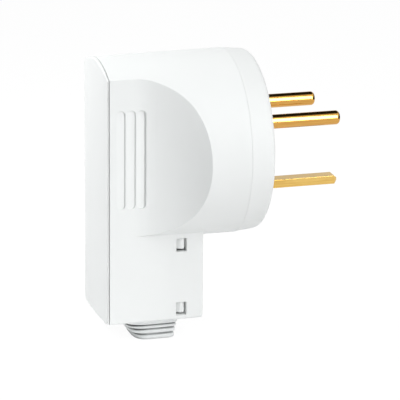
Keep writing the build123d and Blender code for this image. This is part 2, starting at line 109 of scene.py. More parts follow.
# Share of the shank that has no thread, from the head
COVER_SCREW_PLAIN = 0.62
CLAMP_SCREW_PLAIN = 0.25
RINGS_PER_TURN = 6
INSERT_WALL = 0.8 * MM
STEPS_PER_TOOTH = 4
# Radians of a cable groove that the clamp's ridges cover
RIDGE_SWEEP = 2.3
WELD_GAP = 0.2e-6

FLOOR_GAP = 0.05 * MM
FLOOR_HALF = 6.0
FRONT_LAMP_OFFSET = Vector((0.29, -0.70, 0.69))
FRONT_LAMP_SIZE = (0.18, 1.51)
BACK_LAMP_OFFSET = Vector((-0.14, 0.11, 0.16))
BACK_LAMP_SIZE = (0.14, 0.14)
CARD_X = 0.30
CARD_Y = (-0.30, 0.40)
CARD_TOP = 0.12
# The dark ceiling is round this direction, and sets in where the cosine to it passes this much
CEILING_TOWARD = (0.0, 0.515, 0.857)
CEILING_EDGE = 0.70
CEILING_SHARPNESS = 16
CEILING_DARKNESS = 0.98
REFLECTED_SKY = 0.95
SKY_COLOR = (0.97, 0.985, 1, 1)
WHITE = (1, 1, 1, 1)
FLOOR_GLOW = 1.06

CAMERA_PLACE = (-0.2703, -0.8449, 0.2454)
CAMERA_AHEAD = Vector((0.27493, 0.91707, -0.28877)).normalized()
CAMERA_ROLL = 0.009146
CAMERA_LENS = 244.87


class PlugFinishes(PropertyGroup):
    shell_color: FloatVectorProperty(
        name="Shell", description="Colour of the moulded shells", subtype="COLOR", size=3,
        min=0, max=1, default=(0.865, 0.880, 0.872))
    shell_roughness: FloatProperty(
        name="Shell roughness", description="0 is a mirror, 1 is chalk", subtype="FACTOR",
        min=0, max=1, default=0.46)
    shell_grain: FloatProperty(
        name="Shell grain", description="Height of the moulded grain", unit="LENGTH", default=0.012 * MM)
    edge_radius: FloatProperty(
        name="Edge radius", description="Radius that moulded edges catch the light with",
        unit="LENGTH", default=0.30 * MM)
    insulator_color: FloatVectorProperty(
        name="Insulators", description="Colour of the inner mouldings", subtype="COLOR", size=3,
        min=0, max=1, default=(0.70, 0.70, 0.65))
    rubber_color: FloatVectorProperty(
        name="Gland", description="Colour of the gland's rubber", subtype="COLOR", size=3,
        min=0, max=1, default=(0.94, 0.96, 0.955))
    brass_color: FloatVectorProperty(
        name="Brass", description="Colour that the drawn brass reflects", subtype="COLOR", size=3,
        min=0, max=1, default=(0.83, 0.57, 0.18))
    # Painted shade: the round pins' brass is a darker, redder copy of the pin brass, standing for the shadowed
    # floor that they reflect
    round_pin_shaded_color: FloatVectorProperty(
        name="Shaded turned brass", description="Colour that the turned brass of the round pins reflects",
        subtype="COLOR", size=3, min=0, max=1, default=(0.72, 0.41, 0.115))
    brass_roughness: FloatProperty(
        name="Brass roughness", description="0 is a mirror, 1 is dull", subtype="FACTOR",
        min=0, max=1, default=0.05)
    zinc_color: FloatVectorProperty(
        name="Zinc", description="Colour of the plated screws and saddles", subtype="COLOR", size=3,
        min=0, max=1, default=(0.60, 0.62, 0.65))


class PlugFittings(PropertyGroup):
    thread_pitch: FloatProperty(
        name="Thread pitch", description="Advance of a screw in one turn", unit="LENGTH", default=0.7 * MM)
    thread_depth: FloatProperty(
        name="Thread depth", description="Crest to root", unit="LENGTH", default=0.38 * MM)
    slot_width: FloatProperty(
        name="Slot width", description="Width of a driver slot", unit="LENGTH", default=0.8 * MM)
    slot_depth: FloatProperty(
        name="Slot depth", description="Depth of a driver slot", unit="LENGTH", default=1.3 * MM)
    cover_head: FloatProperty(
        name="Cover screw head", description="Height of a cover screw's head", unit="LENGTH",
        default=2.1 * MM)
    terminal_head: FloatProperty(
        name="Terminal screw head", description="Height of a terminal screw's head", unit="LENGTH",
        default=2.4 * MM)
    clamp_head: FloatProperty(
        name="Clamp screw head", description="Height of a clamp screw's head", unit="LENGTH",
        default=2.4 * MM)
    retainer_head: FloatProperty(
        name="Retainer screw head", description="Height of a retainer screw's head", unit="LENGTH",
        default=1.9 * MM)
    knurl_teeth: IntProperty(
        name="Knurl teeth", description="Teeth round an insert", min=6, max=60, default=20)
    knurl_depth: FloatProperty(
        name="Knurl depth", description="Depth of an insert's knurl", unit="LENGTH", default=0.18 * MM)
    clamp_teeth: IntProperty(
        name="Clamp teeth", description="Ridges that grip the cable in each half of the clamp",
        min=1, max=12, default=4)


class PlugGland(PropertyGroup):
    block_height: FloatProperty(
        name="Block height", description="Height of the plain block over the ribs", unit="LENGTH",
        default=3.0 * MM)
    ribs: IntProperty(name="Ribs", description="Ribs under the block", min=1, max=8, default=3)
    rib_height: FloatProperty(
        name="Rib height", description="Height of the highest rib with its groove", unit="LENGTH",
        default=1.4 * MM)
    rib_growth: FloatProperty(
        name="Rib growth", description="How much higher each rib is than the one over it", unit="LENGTH",
        default=0.4 * MM)
    groove: FloatProperty(
        name="Groove", description="Height of the groove over a rib", unit="LENGTH", default=0.42 * MM)
    groove_depth: FloatProperty(
        name="Groove depth", description="Depth of the groove over a rib", unit="LENGTH", default=1.3 * MM)
    rear_taper: FloatProperty(
        name="Rear taper", description="How far the lowest rib stands back at the rear", unit="LENGTH",
        default=3.6 * MM)
    front_taper: FloatProperty(
        name="Front taper", description="How far the lowest rib stands back in front", unit="LENGTH",
        default=0.95 * MM)
    side_taper: FloatProperty(
        name="Side taper", description="How far the lowest rib stands back at each side", unit="LENGTH",
        default=0.4 * MM)
    rear_squareness: FloatProperty(
        name="Rear squareness", description="2 is an ellipse, more is squarer", min=2, max=30, default=3.4)
    front_squareness: FloatProperty(
        name="Front squareness", description="2 is an ellipse, more is squarer", min=2, max=30, default=12)
    bore: FloatProperty(
        name="Bore", description="Radius of the cable's hole", unit="LENGTH", default=5.0 * MM)


class PlugStage(PropertyGroup):
    front_power: FloatProperty(
        name="Front", description="Tall soft box in front of and over the plug", unit="POWER", default=7.6)
    back_power: FloatProperty(
        name="Back", description="Small soft lamp over the top of the rear cover", unit="POWER", default=0.55)
    sky: FloatProperty(
        name="Sky", description="Light from all round", min=0, max=2, default=0.46)
    floor_color: FloatVectorProperty(
        name="Floor", description="Colour of the floor", subtype="COLOR", size=3,
        min=0, max=1, default=(0.92, 0.92, 0.92))
    floor_white: FloatProperty(
        name="Floor white", description="Share of plain white that the camera sees on the floor",
        subtype="FACTOR", min=0, max=1, default=0.88)


class Socket:
    """An output socket whose operators add Math nodes to its graph."""

    def __init__(self, graph, output):
        self.graph = graph
        self.output = output

    def math(self, operation, *values):
        return self.graph.node("ShaderNodeMath", {"operation": operation}, dict(enumerate(values)))

    def __add__(self, other):
        return self.math("ADD", self, other)

    def __sub__(self, other):
        return self.math("SUBTRACT", self, other)

    def __rsub__(self, other):
        return self.math("SUBTRACT", other, self)

    def __mul__(self, other):
        return self.math("MULTIPLY", self, other)

    def __truediv__(self, other):
        return self.math("DIVIDE", self, other)

    def __rtruediv__(self, other):
        return self.math("DIVIDE", other, self)

    def above(self, limit):
        return self.math("GREATER_THAN", self, limit)

    def wave(self, period):
        """0 at each whole period and period / 2 half-way."""
        return self.math("PINGPONG", self, period / 2)

    __radd__ = __add__
    __rmul__ = __mul__


class Graph:
    """A node tree that node() fills."""

    tree = None

    def node(self, kind, settings=None, inputs=None, output=0):
        made = self.tree.nodes.new(kind)
        for name, value in (settings or {}).items():
            setattr(made, name, value)
        for name, value in (inputs or {}).items():
            if isinstance(value, Socket):
                self.tree.links.new(value.output, made.inputs[name])
            else:
                made.inputs[name].default_value = value
        return Socket(self, made.outputs[output])

    def split(self, vector):
        """The x, y and z of a vector."""
        parts = self.node("ShaderNodeSeparateXYZ", None, {0: vector}).output.node
        return [Socket(self, parts.outputs[index]) for index in range(3)]


def tinted(color, *shares):
    """The colour with each of its parts scaled by its share, or all by one."""
    shares = shares * 3 if len(shares) == 1 else shares
    return [part * share for part, share in zip(color, shares)]


class Finish(Graph):
    """A procedural material on Object coordinates, in metres."""

    def __init__(self, name):
        self.material = bpy.data.materials.new(name)
        self.material.use_nodes = True
        self.tree = self.material.node_tree
        self.tree.nodes.clear()
        self.place = self.node("ShaderNodeTexCoord", output="Object")

    def noise(self, grain, detail=2.0, stretch=(1, 1, 1)):
        """Noise from 0 to 1 with features about grain metres across, stretched along each axis."""
        scale = [1 / (grain * along) for along in stretch]
        moved = self.node("ShaderNodeMapping", None, {"Vector": self.place, "Scale": scale})
        return self.node("ShaderNodeTexNoise", None, {"Vector": moved, "Scale": 1.0, "Detail": detail})

    def blend(self, factor, first, second):
        """first where factor is 0 and second where it is 1, both colours."""
        return self.node("ShaderNodeMix", {"data_type": "RGBA"},
                         {"Factor": factor, 6: (*first, 1) if not isinstance(first, Socket) else first,
                          7: (*second, 1) if not isinstance(second, Socket) else second}, output=2)

    def rounded(self, radius):
        """The normal with edges rounded to radius, and how far it turns there."""
        normal = self.node("ShaderNodeBevel", {"samples": 6}, {"Radius": radius})
        flat = self.node("ShaderNodeNewGeometry", output="Normal")
        alike = self.node("ShaderNodeVectorMath", {"operation": "DOT_PRODUCT"}, {0: normal, 1: flat},
                          output="Value")
        return normal, 1 - alike

    def relief(self, height, distance, normal=None):
        inputs = {"Height": height, "Distance": distance, "Strength": 1.0}
        if normal is not None:
            inputs["Normal"] = normal
        return self.node("ShaderNodeBump", None, inputs)

    def surface(self, **sockets):
        """Ends the material in a Principled shader with these sockets."""
        shader = self.node("ShaderNodeBsdfPrincipled", None,
                           {name.replace("_", " "): value for name, value in sockets.items()})
        self.node_output(shader)
        return self.material

    def node_output(self, shader):
        out = self.tree.nodes.new("ShaderNodeOutputMaterial")
        self.tree.links.new(shader.output, out.inputs["Surface"])


class Form(Graph):
    """A geometry node tree with named inputs, turned into plain meshes by mesh()."""

    def __init__(self, name):
        self.tree = bpy.data.node_groups.new(name, "GeometryNodeTree")
        self.tree.interface.new_socket("Geometry", in_out="OUTPUT", socket_type="NodeSocketGeometry")
        self.group_input = self.tree.nodes.new("NodeGroupInput")

    def size(self, name, default):
        return self.entry(name, "NodeSocketFloat", default)

    def count(self, name, default):
        return self.entry(name, "NodeSocketInt", default)

    def entry(self, name, kind, default):
        self.tree.interface.new_socket(name, in_out="INPUT", socket_type=kind).default_value = default
        return Socket(self, self.group_input.outputs[name])

    def join(self, *parts):
        joined = self.tree.nodes.new("GeometryNodeJoinGeometry")
        for part in parts:
            self.tree.links.new(part.output, joined.inputs[0])
        return Socket(self, joined.outputs[0])

    def vector(self, x, y, z):
        return self.node("ShaderNodeCombineXYZ", None, {0: x, 1: y, 2: z})

    def end(self, geometry, material):
        solid = self.node("GeometryNodeRealizeInstances", None, {0: geometry})
        painted = self.node("GeometryNodeSetMaterial", None, {0: solid, "Material": material})
        out = self.tree.nodes.new("NodeGroupOutput")
        self.tree.links.new(painted.output, out.inputs[0])

    def mesh(self, values):
        """A plain mesh of the tree with these inputs."""
        holder = bpy.data.objects.new(self.tree.name, bpy.data.meshes.new(self.tree.name))
        bpy.context.scene.collection.objects.link(holder)
        modifier = holder.modifiers.new("Form", "NODES")
        modifier.node_group = self.tree
        for item in self.tree.interface.items_tree:
            if item.in_out == "INPUT" and item.name in values:
                modifier[item.identifier] = values[item.name]
        holder.update_tag()
        graph = bpy.context.evaluated_depsgraph_get()
        made = bpy.data.meshes.new_from_object(holder.evaluated_get(graph))
        holder.modifiers.remove(modifier)
        bpy.data.objects.remove(holder)
        if not made.polygons:
            raise RuntimeError(f"{self.tree.name} made no faces")
        return made


def show(name, meshes, body, stands_for):
    """One piece of these placed meshes, which rides on a body and stands for a CAD node."""
    joined = bmesh.new()
    for mesh in meshes:
        joined.from_mesh(mesh)
    bmesh.ops.remove_doubles(joined, verts=joined.verts, dist=WELD_GAP)
    bmesh.ops.recalc_face_normals(joined, faces=joined.faces)
    made = bpy.data.meshes.new(name)
    joined.to_mesh(made)
    joined.free()
    for material in meshes[0].materials:
        made.materials.append(material)
    made.shade_smooth()
    made.set_sharp_from_angle(angle=pi / 5)
    piece = bpy.data.objects.new(name, made)
    bpy.context.scene.collection.objects.link(piece)
    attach(piece, body)
    if stands_for:
        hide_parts(stands_for)


def dress(nodes, material):
    """Gives CAD nodes their finish."""
    for node in nodes:
        piece = frame["nodes"][node]
        piece.data.materials.clear()
        piece.data.materials.append(material)


def body_of(node):
    return frame["nodes"][node]["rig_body"]


def moulded_plastic(finishes):
    """White plastic from a spark-eroded tool: faint flow clouds, fine grain, edges that catch the light."""
    plastic = Finish("Moulded white plastic")
    cloud = plastic.noise(18 * MM, 3)
    grain = plastic.noise(0.28 * MM, 1)
    normal, edge = plastic.rounded(finishes.edge_radius)
    color = finishes.shell_color
    return plastic.surface(
        Base_Color=plastic.blend(cloud, tinted(color, 0.985), color),
        Roughness=finishes.shell_roughness + 0.05 * cloud + 0.06 * grain + 0.15 * edge,
        Normal=plastic.relief(grain, finishes.shell_grain, normal))


def insulating_plastic(finishes):
    """Glass-filled inner mouldings: duller, speckled, with short fibre streaks."""
    plastic = Finish("Filled insulating plastic")
    speck = plastic.noise(0.5 * MM, 3)
    fibre = plastic.noise(0.35 * MM, 2, (1, 5, 1))
    normal, edge = plastic.rounded(finishes.edge_radius)
    color = finishes.insulator_color
    return plastic.surface(
        Base_Color=plastic.blend(speck, tinted(color, 0.90), color),
        Roughness=0.46 + 0.12 * fibre + 0.10 * edge,
        Normal=plastic.relief(fibre, 0.02 * MM, normal))


def rubber(finishes):
    """Satin white elastomer with a fine bloom, with painted shade in its grooves from ambient occlusion,
    darkest to the rear.
    """
    soft = Finish("White gland rubber")
    bloom = soft.noise(1.5 * MM, 4)
    skin = soft.noise(0.15 * MM, 2)
    # Painted shade: how closed in the surface is, which turns the base colour to the groove shade below
    open_sky = soft.node("ShaderNodeAmbientOcclusion", {"samples": 8}, {"Distance": 1.2 * MM}, output="AO")
    color = finishes.rubber_color
    unshaded_rubber = soft.blend(bloom, tinted(color, 0.955), color)
    along = soft.split(soft.place)[0]
    rear_depth = 8 * MM
    rear = soft.node("ShaderNodeClamp", None, {0: (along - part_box("cable_gland")[0].x) / -rear_depth + 1})
    # Painted shade: the colour laid into the grooves, close to black at the rear
    painted_groove_shade = soft.blend(rear, tinted(color, 0.60), tinted(color, 0.03))
    return soft.surface(
        Base_Color=soft.blend(open_sky.math("POWER", open_sky, 1 + 3 * rear), painted_groove_shade, unshaded_rubber),
        Roughness=0.50 + 0.12 * bloom,
        Normal=soft.relief(skin, 0.01 * MM))


def brass(name, finishes, color, stretch, line_height):
    """Polished brass: machining lines across the small stretch, soft tarnish, dark streaks lengthwise."""
    metal = Finish(name)
    lines = metal.noise(0.09 * MM, 2, stretch)
    tarnish = metal.noise(2.5 * MM, 4)
    streak_start, streak_contrast = 0.46, 5
    drawing = metal.noise(0.22 * MM, 2, (70, 1, 1))
    streak = metal.node("ShaderNodeClamp", None, {0: (drawing - streak_start) * streak_contrast})
    normal, edge = metal.rounded(0.15 * MM)
    stained = metal.blend(tarnish, color, tinted(color, 0.90, 0.84, 0.74))
    return metal.surface(
        Base_Color=metal.blend(streak, stained, tinted(color, 0.80, 0.70, 0.55)),
        Metallic=1.0,
        Roughness=finishes.brass_roughness + 0.03 * lines + 0.03 * tarnish + 0.10 * edge,
        Normal=metal.relief(lines, line_height, normal))


def zinc(finishes):
    """Bright zinc plate with faint blotches of passivation."""
    metal = Finish("Bright zinc plate")
    blotch = metal.noise(1.2 * MM, 4)
    scuff = metal.noise(0.12 * MM, 2, (1, 4, 4))
    color = finishes.zinc_color
    return metal.surface(
        Base_Color=metal.blend(blotch, color, tinted(color, 0.96, 0.94, 0.86)),
        Metallic=1.0,
        Roughness=0.26 + 0.14 * blotch + 0.08 * scuff,
        Normal=metal.relief(scuff, 0.004 * MM))


def screw_form(material):
    """A threaded screw along Z with its head below 0, and slots or a cross cut in the head."""
    form = Form("Threaded screw")
    radius = form.size("Shank Radius", 1.5 * MM)
    length = form.size("Length", 9 * MM)
    rings = form.count("Rings", 80)
    turns = form.size("Turns", 13)
    depth = form.size("Thread Depth", 0.38 * MM)
    plain = form.size("Plain Share", 0.0)
    head_radius = form.size("Head Radius", 2.8 * MM)
    head_height = form.size("Head Height", 2.1 * MM)
    slot_long = form.size("Slot Length", 4 * MM)
    cross_long = form.size("Cross Length", 4 * MM)
    slot_width = form.size("Slot Width", 0.8 * MM)
    slot_depth = form.size("Slot Depth", 1.3 * MM)
    run_in_rate = 12        # the thread reaches full depth in a twelfth of the shank
    point_turns = 1.6       # turns over which the tip narrows
    point_taper = 0.2
    dome_power = 4
    dome_drop = 0.28

    shank = form.node("GeometryNodeMeshCylinder", {"fill_type": "TRIANGLE_FAN"},
                      {"Vertices": 32, "Side Segments": rings, "Radius": radius, "Depth": length})
    x, y, z = form.split(form.node("GeometryNodeInputPosition"))
    along = z / length + 0.5
    turned = x.math("ARCTAN2", y, x) / (2 * pi)
    crest = (along * turns - turned).wave(1.0) * 2
    run_in = form.node("ShaderNodeClamp", None, {0: (along - plain) * run_in_rate})
    tip = (1 - along) * turns / point_turns
    pointed = tip.math("MINIMUM", tip, 1)
    cut = depth / radius * (1 - crest) * run_in + (1 - pointed) * point_taper
    keep = 1 - cut
    shank = form.node("GeometryNodeSetPosition", None,
                      {0: shank, "Position": form.vector(x * keep, y * keep, along * length)})

    head = form.node("GeometryNodeMeshCylinder", {"fill_type": "NGON"},
                     {"Vertices": 48, "Side Segments": 8, "Radius": head_radius, "Depth": head_height})
    x, y, z = form.split(form.node("GeometryNodeInputPosition"))
    low = 0.5 - z / head_height
    dome = 1 - low.math("POWER", low, dome_power) * dome_drop
    head = form.node("GeometryNodeSetPosition", None,
                     {0: head, "Position": form.vector(x * dome, y * dome, z - head_height * 0.5)})
    slots = [form.node("GeometryNodeTransform", None, {
        0: form.node("GeometryNodeMeshCube", None, {"Size": form.vector(wide, deep, slot_depth * 2)}),
        "Translation": form.vector(0.0, 0.0, head_height * -1.0)})
        for wide, deep in ((slot_long, slot_width), (slot_width, cross_long))]
    cutter = form.node("GeometryNodeMeshBoolean", {"operation": "UNION"}, {1: form.join(*slots)})
    head = form.node("GeometryNodeMeshBoolean", {"operation": "DIFFERENCE"}, {0: head, 1: cutter})
    form.end(form.join(shank, head), material)
    return form


def insert_form(material):
    """A sleeve along Z with a diamond knurl on its outside."""
    form = Form("Knurled insert")
    outer = form.size("Outer Radius", 2.35 * MM)
    inner = form.size("Inner Radius", 1.55 * MM)
    length = form.size("Length", 6 * MM)
    teeth = form.count("Teeth", 20)
    depth = form.size("Knurl Depth", 0.18 * MM)
    steps = form.count("Steps", 80)
    section_points = 72
    knurled_share = 0.82    # of the length, from the middle
    lead_turns = 0.25       # turn of a knurl line over the length

    middle = (outer + inner) * 0.5
    ring = form.node("GeometryNodeCurvePrimitiveCircle", None, {"Resolution": steps, "Radius": middle})
    section = form.node("GeometryNodeCurvePrimitiveQuadrilateral", None,
                        {"Width": outer - inner, "Height": length})
    section = form.node("GeometryNodeResampleCurve", None, {"Curve": section, "Count": section_points})
    sleeve = form.node("GeometryNodeCurveToMesh", None, {"Curve": ring, "Profile Curve": section})
    x, y, z = form.split(form.node("GeometryNodeInputPosition"))
    from_axis = x.math("SQRT", x * x + y * y)
    turned = x.math("ARCTAN2", y, x) / (2 * pi)
    lead = z / length * lead_turns
    left = ((turned + lead) * teeth).wave(1.0) * 2
    right = ((turned - lead) * teeth).wave(1.0) * 2
    band = 1 - (z.math("ABSOLUTE", z) / length * 2).above(knurled_share)
    cut = depth / from_axis * (1 - left.math("MINIMUM", left, right)) * band * from_axis.above(middle)
    keep = 1 - cut
    sleeve = form.node("GeometryNodeSetPosition", None,
                       {0: sleeve, "Position": form.vector(x * keep, y * keep, z)})
    form.end(sleeve, material)
    return form


def gland_form(material):
    """A rubber boot along Z, open through its bore: flange and neck above 0, oblong block and ribs below."""
    form = Form("Ribbed gland")
    block = form.size("Block Height", 3.0 * MM)
    ribs = form.count("Ribs", 3)
    height = form.size("Rib Height", 1.4 * MM)
    growth = form.size("Rib Growth", 0.4 * MM)
    groove = form.size("Groove", 0.45 * MM)
    groove_depth = form.size("Groove Depth", 0.9 * MM)
    bore = form.size("Bore", 5 * MM)
    reaches = {name: (form.size(f"{name} Reach", 9 * MM), form.size(f"{name} Taper", 1 * MM))
               for name in ("Rear", "Front", "Side")}
    rear_square = form.size("Rear Squareness", 3.4)
    front_square = form.size("Front Squareness", 12)
    neck = form.size("Neck Radius", 6.2 * MM)
    flange = form.size("Flange Radius", 6.9 * MM)
    wall = form.size("Wall", 2.2 * MM)
    flange_height = form.size("Flange Height", 1.4 * MM)
    ring_points = 176
    rear_curve = 1.3        # over 1, the upper ribs keep more of the block's reach behind

    def sleeve(inner, outer, low, high, soft):
        """A round sleeve between two radii and two heights, its corners rounded by soft."""
        ring = form.node("GeometryNodeCurvePrimitiveCircle", None,
                         {"Resolution": ring_points, "Radius": (inner + outer) * 0.5})
        section = form.node("GeometryNodeCurvePrimitiveQuadrilateral", None,
                            {"Width": outer - inner, "Height": high - low})
        section = form.node("GeometryNodeFilletCurve", {"mode": "POLY"},
                            {"Curve": section, "Radius": soft, "Count": 5, "Limit Radius": True})
        made = form.node("GeometryNodeCurveToMesh", None, {"Curve": ring, "Profile Curve": section})
        return form.node("GeometryNodeTransform", None,
                         {0: made, "Translation": form.vector(0.0, 0.0, (low + high) * 0.5)})

    # Round ribs first, each with the groove over it. Their rank sets how far they taper once squared.
    round_lip = 0.42 * MM
    sharp_lip = 0.05 * MM
    flange_lip = 0.3 * MM
    overlap = 0.2 * MM
    flat = bore * 0.0
    full = reaches["Side"][0]
    rib = form.join(sleeve(bore, full, flat, height - groove, round_lip),
                    sleeve(bore, full - groove_depth, height - groove - overlap, height + overlap, sharp_lip))
    rank = form.node("GeometryNodeInputIndex") + 1
    spots = form.node("GeometryNodeMeshLine", None, {"Count": ribs})
    spots = form.node("GeometryNodeStoreNamedAttribute", {"data_type": "FLOAT", "domain": "POINT"},
                      {"Geometry": spots, "Name": "rank", "Value": rank})
    foot = block + rank * height + growth * rank * (rank - 1) * 0.5
    spots = form.node("GeometryNodeSetPosition", None,
                      {0: spots, "Position": form.vector(0.0, 0.0, foot * -1.0)})
    tall = 1 + growth / height * (rank - 1)
    rows = form.node("GeometryNodeInstanceOnPoints", None,
                     {"Points": spots, "Instance": rib, "Scale": form.vector(1.0, 1.0, tall)})
    boot = form.join(sleeve(bore, full, block * -1.0, flat, round_lip), rows)
    boot = form.node("GeometryNodeRealizeInstances", None, {0: boot})

    x, y, z = form.split(form.node("GeometryNodeInputPosition"))
    from_axis = x.math("SQRT", x * x + y * y)
    share = form.node("GeometryNodeInputNamedAttribute", {"data_type": "FLOAT"}, {"Name": "rank"}) / ribs
    shares = {"Rear": share.math("POWER", share, rear_curve), "Front": share, "Side": share}
    rear, front, side = (reach - taper * shares[name] for name, (reach, taper) in reaches.items())
    ahead = x.above(0.0)
    reach = rear + (front - rear) * ahead
    square = rear_square + (front_square - rear_square) * ahead
    along = x.math("ABSOLUTE", x) / from_axis / reach
    across = x.math("ABSOLUTE", y) / from_axis / side
    outline = x.math("POWER", x.math("POWER", along, square) + x.math("POWER", across, square), -1 / square)
    moved = (bore + (from_axis - bore) * (outline - bore) / (full - bore)) / from_axis
    boot = form.node("GeometryNodeSetPosition", None,
                     {0: boot, "Position": form.vector(x * moved, y * moved, z)})
    boot = form.node("GeometryNodeRemoveAttribute", None, {"Geometry": boot, "Name": "rank"})
    form.end(form.join(boot,
                       sleeve(bore, neck, flat - 0.3 * MM, wall + overlap, sharp_lip),
                       sleeve(bore, flange, wall, wall + flange_height, flange_lip)), material)
    return form


def ridge_form(material):
    """Sharp ridges round part of a cable groove, stacked along Z."""
    form = Form("Clamp ridges")
    radius = form.size("Groove Radius", 5.2 * MM)
    stand = form.size("Ridge Height", 0.45 * MM)
    teeth = form.count("Ridges", 4)
    pitch = form.size("Ridge Pitch", 1.7 * MM)
    start = form.size("Start Angle", -1.2)
    sweep = form.size("Sweep Angle", 2.4)
    arc = form.node("GeometryNodeCurveArc", None,
                    {"Resolution": 28, "Radius": radius, "Start Angle": start, "Sweep Angle": sweep})
    arc = form.node("GeometryNodeSetCurveNormal", {"mode": "Z_UP"}, {"Curve": arc})
    section = form.node("GeometryNodeCurvePrimitiveCircle", None, {"Resolution": 4, "Radius": stand})
    ridge = form.node("GeometryNodeCurveToMesh", None,
                      {"Curve": arc, "Profile Curve": section, "Fill Caps": True})
    spots = form.node("GeometryNodeMeshLine", None,
                      {"Count": teeth, "Start Location": form.vector(0.0, 0.0, pitch * (teeth - 1) * -0.5),
                       "Offset": form.vector(0.0, 0.0, pitch)})
    rows = form.node("GeometryNodeInstanceOnPoints", None, {"Points": spots, "Instance": ridge})
    form.end(rows, material)
    return form


def along_x(mesh, site, hand=1):
    """Turns a mesh's Z to the row's X, or to -X where hand is -1, and moves it to site."""
    mesh.transform(Matrix.Translation(site) @ Matrix.Rotation(hand * pi / 2, 4, "Y"))
    return mesh


def threaded_screw(form, low, high, head_height, fittings, cross, plain=0.0, hand=1):
    """A screw that fills the box from low to high, its head at the low X end, or the high if hand is -1."""
    head_radius = (high.y - low.y) / 2
    length = high.x - low.x - head_height
    shank_radius = SHANK_RADII[round(head_radius / MM, 1)] * MM
    turns = length / fittings.thread_pitch
    mesh = form.mesh({
        "Shank Radius": shank_radius, "Length": length, "Rings": int(turns * RINGS_PER_TURN), "Turns": turns,
        "Thread Depth": fittings.thread_depth, "Plain Share": plain,
        "Head Radius": head_radius, "Head Height": head_height,
        "Slot Length": (CROSS_REACH if cross else SLOT_REACH) * head_radius,
        "Cross Length": CROSS_REACH * head_radius if cross else fittings.slot_width,
        "Slot Width": fittings.slot_width, "Slot Depth": fittings.slot_depth})
    seat = low.x + head_height if hand == 1 else high.x - head_height
    return along_x(mesh, Vector((seat, (low.y + high.y) / 2, (low.z + high.z) / 2)), hand)


class PLUG_OT_shells(Operator):
    """Gives the outer mouldings and the insulators their plastics"""
    bl_idname = "plug.shells"
    bl_label = "Mouldings"

    def execute(self, context):
        finishes = context.scene.plug_finishes
        dress(SHELLS, moulded_plastic(finishes))
        dress(INSULATORS, insulating_plastic(finishes))
        return {"FINISHED"}


class PLUG_OT_metal(Operator):
    """Gives the pins, terminals and saddles their metals"""
    bl_idname = "plug.metal"
    bl_label = "Pins and terminals"

    def execute(self, context):
        finishes = context.scene.plug_finishes
        turned, drawn = finishes.round_pin_shaded_color, finishes.brass_color
        # Painted shade: the round pins take the darker, redder copy of the brass
        dress(ROUND_PINS, brass("Shaded turned brass", finishes, turned, (1, 40, 40), 0.0012 * MM))
        dress(("earth_pin",), brass("Drawn brass", finishes, drawn, (60, 1, 1), 0.0016 * MM))
        dress(BLOCKS, brass("Milled brass", finishes, drawn, (20, 20, 1), 0.002 * MM))
        dress(SADDLES, zinc(finishes))
        return {"FINISHED"}


class PLUG_OT_screws(Operator):
    """Makes every screw, with its thread and its slot or cross"""
    bl_idname = "plug.screws"
    bl_label = "Screws"

    def execute(self, context):
        fittings = context.scene.plug_fittings
        form = screw_form(zinc(context.scene.plug_finishes))
        for node in COVER_SCREWS:
            mesh = threaded_screw(form, *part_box(node), fittings.cover_head, fittings, True,
                                  COVER_SCREW_PLAIN, -1)
            show(f"{node}_thread", [mesh], body_of(node), node)
        for node in CLAMP_SCREWS:
            mesh = threaded_screw(form, *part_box(node), fittings.clamp_head, fittings, True, CLAMP_SCREW_PLAIN)
            show(f"{node}_thread", [mesh], body_of(node), node)
        for node in SLOTTED_SCREWS:
            mesh = threaded_screw(form, *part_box(node), fittings.terminal_head, fittings, False)
            show(f"{node}_thread", [mesh], body_of(node), node)
        low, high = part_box("retainer_screws")
        reach = (high.y - low.y) / 2 - RETAINER_SITES[2][0]
        meshes = []
        for y, z in RETAINER_SITES:
            site_low = Vector((low.x, y - reach, z - reach))
            site_high = Vector((high.x, y + reach, z + reach))
            meshes.append(threaded_screw(form, site_low, site_high, fittings.retainer_head, fittings, True))
        show("retainer_screws_thread", meshes, body_of("retainer_screws"), "retainer_screws")
        return {"FINISHED"}


class PLUG_OT_inserts(Operator):
    """Makes the knurled brass inserts of the cover and of the cord clamp"""
    bl_idname = "plug.inserts"
    bl_label = "Inserts"

    def execute(self, context):
        fittings = context.scene.plug_fittings
        finishes = context.scene.plug_finishes
        form = insert_form(brass("Knurled brass", finishes, finishes.brass_color, (1, 30, 30), 0.0012 * MM))
        for node, screws in (("cover_inserts", COVER_SCREWS), ("cord_clamp_inserts", CLAMP_SCREWS)):
            low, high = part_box(node)
            meshes = []
            for screw in screws:
                screw_low, screw_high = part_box(screw)
                y, z = (screw_low.y + screw_high.y) / 2, (screw_low.z + screw_high.z) / 2
                outer = min(high.y - y, y - low.y, high.z - z, z - low.z)
                meshes.append(along_x(form.mesh({
                    "Outer Radius": outer, "Inner Radius": outer - INSERT_WALL, "Length": high.x - low.x,
                    "Teeth": fittings.knurl_teeth, "Knurl Depth": fittings.knurl_depth,
                    "Steps": fittings.knurl_teeth * STEPS_PER_TOOTH}), Vector(((low.x + high.x) / 2, y, z))))
            show(f"{node}_knurled", meshes, body_of(node), node)
        return {"FINISHED"}


